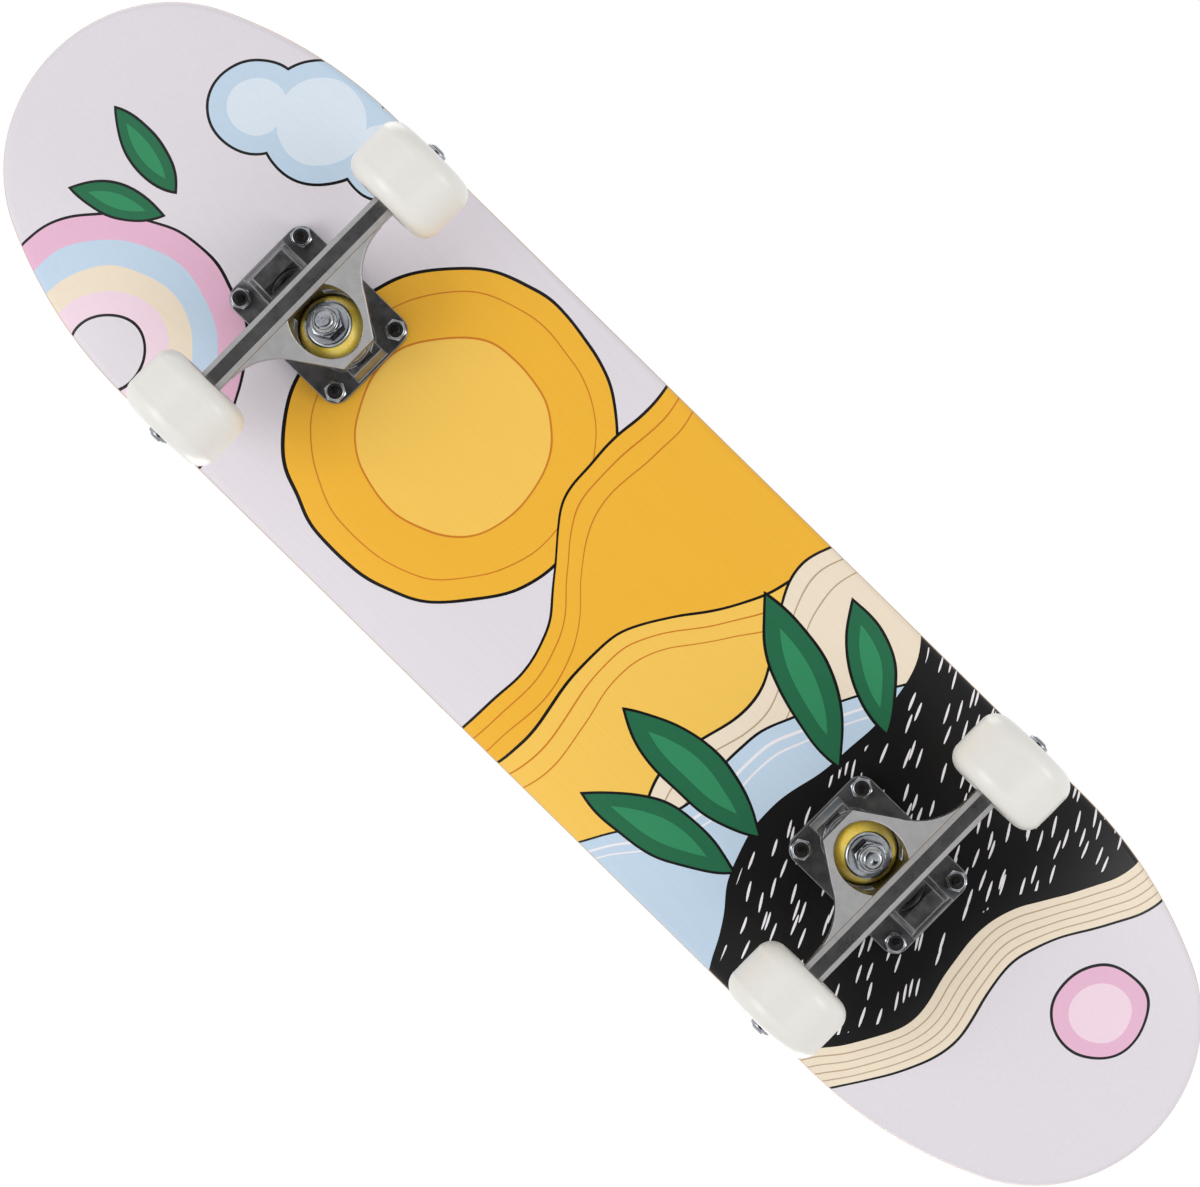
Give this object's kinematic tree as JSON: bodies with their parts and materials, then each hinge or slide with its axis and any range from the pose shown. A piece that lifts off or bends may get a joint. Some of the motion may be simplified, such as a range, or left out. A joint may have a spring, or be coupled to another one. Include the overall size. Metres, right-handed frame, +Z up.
{
  "type": "skateboard",
  "caption": "Double-kick street skateboard: printed maple deck with grip tape, cast trucks that lean on urethane bushings, and white urethane wheels on ball bearings.",
  "frame": {"origin": "on the floor, under the middle of the deck, with the board standing on its wheels", "axes": "+X along the board towards the front, +Y to the left across the board, +Z up out of the standing surface"},
  "size_m": [0.758, 0.1898, 0.1338],
  "materials": {
    "printed_maple": "lacquered heat-transfer print on the underside, sanded plies at the edge",
    "grip_tape": "coarse black grit",
    "cast_aluminium": "tumbled casting, clear coat",
    "black_nylon": "moulded",
    "zinc_steel": "bright zinc plate",
    "black_steel": "black oxide",
    "yellow_urethane": "cast, slightly translucent",
    "white_urethane": "cast, glossy",
    "bearing_steel": "ground",
    "dark_shield": "pressed",
    "white_nylon": "moulded"
  },
  "bodies": {
    "board": {"deck": "printed_maple", "grip_tape": "grip_tape", "front_baseplate": "cast_aluminium", "front_pivot_cup": "black_nylon", "front_kingpin": "zinc_steel", "front_kingpin_nut": "zinc_steel", "front_board_washer": "zinc_steel", "front_board_bushing": "yellow_urethane", "front_road_bushing": "yellow_urethane", "front_road_washer": "zinc_steel", "front_mount_bolts": "black_steel", "front_mount_nuts": "zinc_steel", "rear_baseplate": "cast_aluminium", "rear_pivot_cup": "black_nylon", "rear_kingpin": "zinc_steel", "rear_kingpin_nut": "zinc_steel", "rear_board_washer": "zinc_steel", "rear_board_bushing": "yellow_urethane", "rear_road_bushing": "yellow_urethane", "rear_road_washer": "zinc_steel", "rear_mount_bolts": "black_steel", "rear_mount_nuts": "zinc_steel"},
    "front_hanger": {"front_hanger": "cast_aluminium", "front_axle": "zinc_steel", "front_bearing_inner_rings": "bearing_steel", "front_bearing_spacers": "zinc_steel", "front_speed_washers": "zinc_steel", "front_axle_nuts": "zinc_steel"},
    "rear_hanger": {"rear_hanger": "cast_aluminium", "rear_axle": "zinc_steel", "rear_bearing_inner_rings": "bearing_steel", "rear_bearing_spacers": "zinc_steel", "rear_speed_washers": "zinc_steel", "rear_axle_nuts": "zinc_steel"},
    "front_left_wheel": {"front_left_wheel": "white_urethane", "front_left_bearing_outer_rings": "bearing_steel", "front_left_bearing_shields": "dark_shield"},
    "front_left_ball_set": {"front_left_bearing_balls": "bearing_steel", "front_left_bearing_cages": "white_nylon"},
    "front_right_wheel": {"front_right_wheel": "white_urethane", "front_right_bearing_outer_rings": "bearing_steel", "front_right_bearing_shields": "dark_shield"},
    "front_right_ball_set": {"front_right_bearing_balls": "bearing_steel", "front_right_bearing_cages": "white_nylon"},
    "rear_left_wheel": {"rear_left_wheel": "white_urethane", "rear_left_bearing_outer_rings": "bearing_steel", "rear_left_bearing_shields": "dark_shield"},
    "rear_left_ball_set": {"rear_left_bearing_balls": "bearing_steel", "rear_left_bearing_cages": "white_nylon"},
    "rear_right_wheel": {"rear_right_wheel": "white_urethane", "rear_right_bearing_outer_rings": "bearing_steel", "rear_right_bearing_shields": "dark_shield"},
    "rear_right_ball_set": {"rear_right_bearing_balls": "bearing_steel", "rear_right_bearing_cages": "white_nylon"}
  },
  "joints": [
    {"name": "front_hanger_lean", "type": "hinge", "parent": "board", "child": "front_hanger", "pos_m": [0.17844, 0, 0.04917], "axis": [0.9157, 0, 0.4019], "range_deg": [-12, 12], "stiffness_Nm_per_rad": 40, "deforming": ["front_board_bushing", "front_road_bushing"]},
    {"name": "rear_hanger_lean", "type": "hinge", "parent": "board", "child": "rear_hanger", "pos_m": [-0.17244, 0, 0.04917], "axis": [-0.9157, 0, 0.4019], "range_deg": [-12, 12], "stiffness_Nm_per_rad": 40, "deforming": ["rear_board_bushing", "rear_road_bushing"]},
    {"name": "front_left_wheel_spin", "type": "hinge", "parent": "front_hanger", "child": "front_left_wheel", "pos_m": [0.2005, 0.07475, 0.027], "axis": [0, 1, 0], "continuous": true},
    {"name": "front_left_balls_roll", "type": "hinge", "parent": "front_hanger", "child": "front_left_ball_set", "pos_m": [0.2005, 0.07475, 0.027], "axis": [0, 1, 0], "continuous": true},
    {"name": "front_right_wheel_spin", "type": "hinge", "parent": "front_hanger", "child": "front_right_wheel", "pos_m": [0.2005, -0.07475, 0.027], "axis": [0, 1, 0], "continuous": true},
    {"name": "front_right_balls_roll", "type": "hinge", "parent": "front_hanger", "child": "front_right_ball_set", "pos_m": [0.2005, -0.07475, 0.027], "axis": [0, 1, 0], "continuous": true},
    {"name": "rear_left_wheel_spin", "type": "hinge", "parent": "rear_hanger", "child": "rear_left_wheel", "pos_m": [-0.1945, 0.07475, 0.027], "axis": [0, 1, 0], "continuous": true},
    {"name": "rear_left_balls_roll", "type": "hinge", "parent": "rear_hanger", "child": "rear_left_ball_set", "pos_m": [-0.1945, 0.07475, 0.027], "axis": [0, 1, 0], "continuous": true},
    {"name": "rear_right_wheel_spin", "type": "hinge", "parent": "rear_hanger", "child": "rear_right_wheel", "pos_m": [-0.1945, -0.07475, 0.027], "axis": [0, 1, 0], "continuous": true},
    {"name": "rear_right_balls_roll", "type": "hinge", "parent": "rear_hanger", "child": "rear_right_ball_set", "pos_m": [-0.1945, -0.07475, 0.027], "axis": [0, 1, 0], "continuous": true}
  ],
  "couplings": [
    {"joint": "front_left_balls_roll", "follows": "front_left_wheel_spin", "ratio": 0.6202},
    {"joint": "front_right_balls_roll", "follows": "front_right_wheel_spin", "ratio": 0.6202},
    {"joint": "rear_left_balls_roll", "follows": "rear_left_wheel_spin", "ratio": 0.6202},
    {"joint": "rear_right_balls_roll", "follows": "rear_right_wheel_spin", "ratio": 0.6202}
  ]
}
